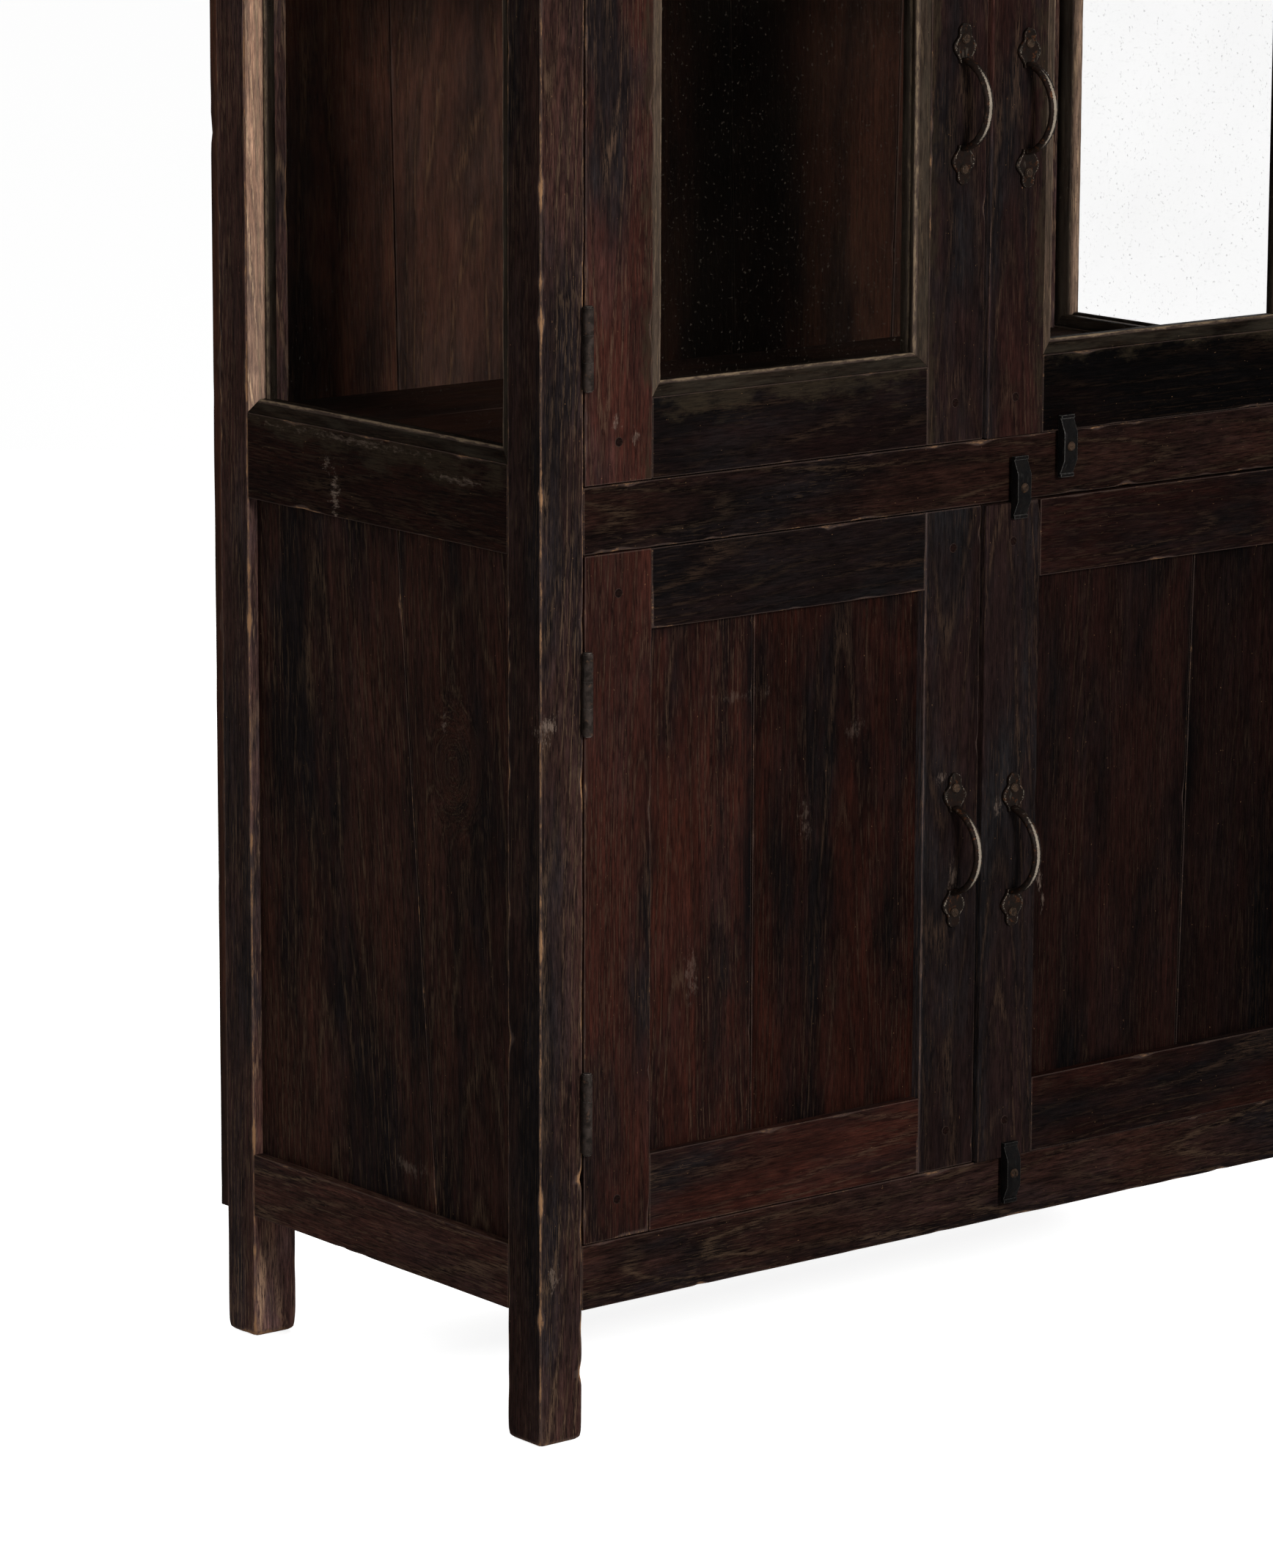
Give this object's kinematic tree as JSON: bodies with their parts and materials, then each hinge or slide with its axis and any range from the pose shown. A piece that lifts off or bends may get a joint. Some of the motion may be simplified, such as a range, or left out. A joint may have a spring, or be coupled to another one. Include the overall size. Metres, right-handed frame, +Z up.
{
  "type": "two tier display cabinet",
  "caption": "Tall wooden cabinet on square legs: a glazed tier with doors and glass sides over a panelled tier with doors, iron pull handles, hinges and turn buttons.",
  "frame": {"origin": "on the floor, under the middle of the whole cabinet", "axes": "+Z up, +X to the right along the front, the doors face -Y"},
  "size_m": [1.13, 0.565, 1.8],
  "materials": {
    "frame_teak": "dark stained, worn, low sheen",
    "door_teak": "dark stained, worn, low sheen",
    "board_teak": "thin stain, dry and matt",
    "window_glass": "clear drawn sheet",
    "forged_iron": "dark, rubbed bright on the high places"
  },
  "bodies": {
    "case": {"back_boards": "board_teak", "back_left_post": "frame_teak", "back_rails": "board_teak", "back_right_post": "frame_teak", "case_screws": "forged_iron", "cleats_and_stops": "board_teak", "floor_boards": "board_teak", "front_bottom_rail": "frame_teak", "front_left_post": "frame_teak", "front_middle_rail": "frame_teak", "front_right_post": "frame_teak", "front_top_rail": "frame_teak", "hinge_pins": "forged_iron", "left_side_panel": "frame_teak", "left_side_rails": "frame_teak", "post_hinge_leaves": "forged_iron", "right_side_panel": "frame_teak", "right_side_rails": "frame_teak", "shelf_boards": "board_teak", "side_glass_panes": "window_glass", "side_glazing_beads": "frame_teak", "top_boards": "frame_teak"},
    "upper_left_door": {"upper_left_door_bottom_rail": "door_teak", "upper_left_door_glass": "window_glass", "upper_left_door_glazing_beads": "frame_teak", "upper_left_door_handle": "forged_iron", "upper_left_door_hinge_leaves": "forged_iron", "upper_left_door_hinge_stile": "door_teak", "upper_left_door_meeting_stile": "door_teak", "upper_left_door_screws": "forged_iron", "upper_left_door_top_rail": "door_teak"},
    "upper_right_door": {"upper_right_door_bottom_rail": "door_teak", "upper_right_door_glass": "window_glass", "upper_right_door_glazing_beads": "frame_teak", "upper_right_door_handle": "forged_iron", "upper_right_door_hinge_leaves": "forged_iron", "upper_right_door_hinge_stile": "door_teak", "upper_right_door_meeting_stile": "door_teak", "upper_right_door_screws": "forged_iron", "upper_right_door_top_rail": "door_teak"},
    "lower_left_door": {"lower_left_door_bottom_rail": "door_teak", "lower_left_door_handle": "forged_iron", "lower_left_door_hinge_leaves": "forged_iron", "lower_left_door_hinge_stile": "door_teak", "lower_left_door_meeting_stile": "door_teak", "lower_left_door_panel": "door_teak", "lower_left_door_screws": "forged_iron", "lower_left_door_top_rail": "door_teak"},
    "lower_right_door": {"lower_right_door_bottom_rail": "door_teak", "lower_right_door_handle": "forged_iron", "lower_right_door_hinge_leaves": "forged_iron", "lower_right_door_hinge_stile": "door_teak", "lower_right_door_meeting_stile": "door_teak", "lower_right_door_panel": "door_teak", "lower_right_door_screws": "forged_iron", "lower_right_door_top_rail": "door_teak"},
    "top_rail_turn_button_body": {"top_rail_turn_button": "forged_iron"},
    "middle_rail_upper_turn_button_body": {"middle_rail_upper_turn_button": "forged_iron"},
    "middle_rail_lower_turn_button_body": {"middle_rail_lower_turn_button": "forged_iron"},
    "bottom_rail_turn_button_body": {"bottom_rail_turn_button": "forged_iron"}
  },
  "joints": [
    {"name": "upper_left_door_hinge", "type": "hinge", "parent": "case", "child": "upper_left_door", "pos_m": [-0.489, -0.243, 1.309], "axis": [0, 0, -1], "range_deg": [0, 170]},
    {"name": "upper_right_door_hinge", "type": "hinge", "parent": "case", "child": "upper_right_door", "pos_m": [0.489, -0.248, 1.309], "axis": [0, 0, 1], "range_deg": [0, 170]},
    {"name": "lower_left_door_hinge", "type": "hinge", "parent": "case", "child": "lower_left_door", "pos_m": [-0.489, -0.243, 0.5175], "axis": [0, 0, -1], "range_deg": [0, 170]},
    {"name": "lower_right_door_hinge", "type": "hinge", "parent": "case", "child": "lower_right_door", "pos_m": [0.489, -0.248, 0.5175], "axis": [0, 0, 1], "range_deg": [0, 170]},
    {"name": "top_rail_turn_button_pivot", "type": "hinge", "parent": "case", "child": "top_rail_turn_button_body", "pos_m": [0.101, -0.2428, 1.723], "axis": [0, -1, 0], "continuous": true},
    {"name": "middle_rail_upper_turn_button_pivot", "type": "hinge", "parent": "case", "child": "middle_rail_upper_turn_button_body", "pos_m": [0.101, -0.2428, 0.895], "axis": [0, -1, 0], "continuous": true},
    {"name": "middle_rail_lower_turn_button_pivot", "type": "hinge", "parent": "case", "child": "middle_rail_lower_turn_button_body", "pos_m": [0.041, -0.2428, 0.86], "axis": [0, -1, 0], "continuous": true},
    {"name": "bottom_rail_turn_button_pivot", "type": "hinge", "parent": "case", "child": "bottom_rail_turn_button_body", "pos_m": [0.041, -0.2428, 0.175], "axis": [0, -1, 0], "continuous": true}
  ]
}
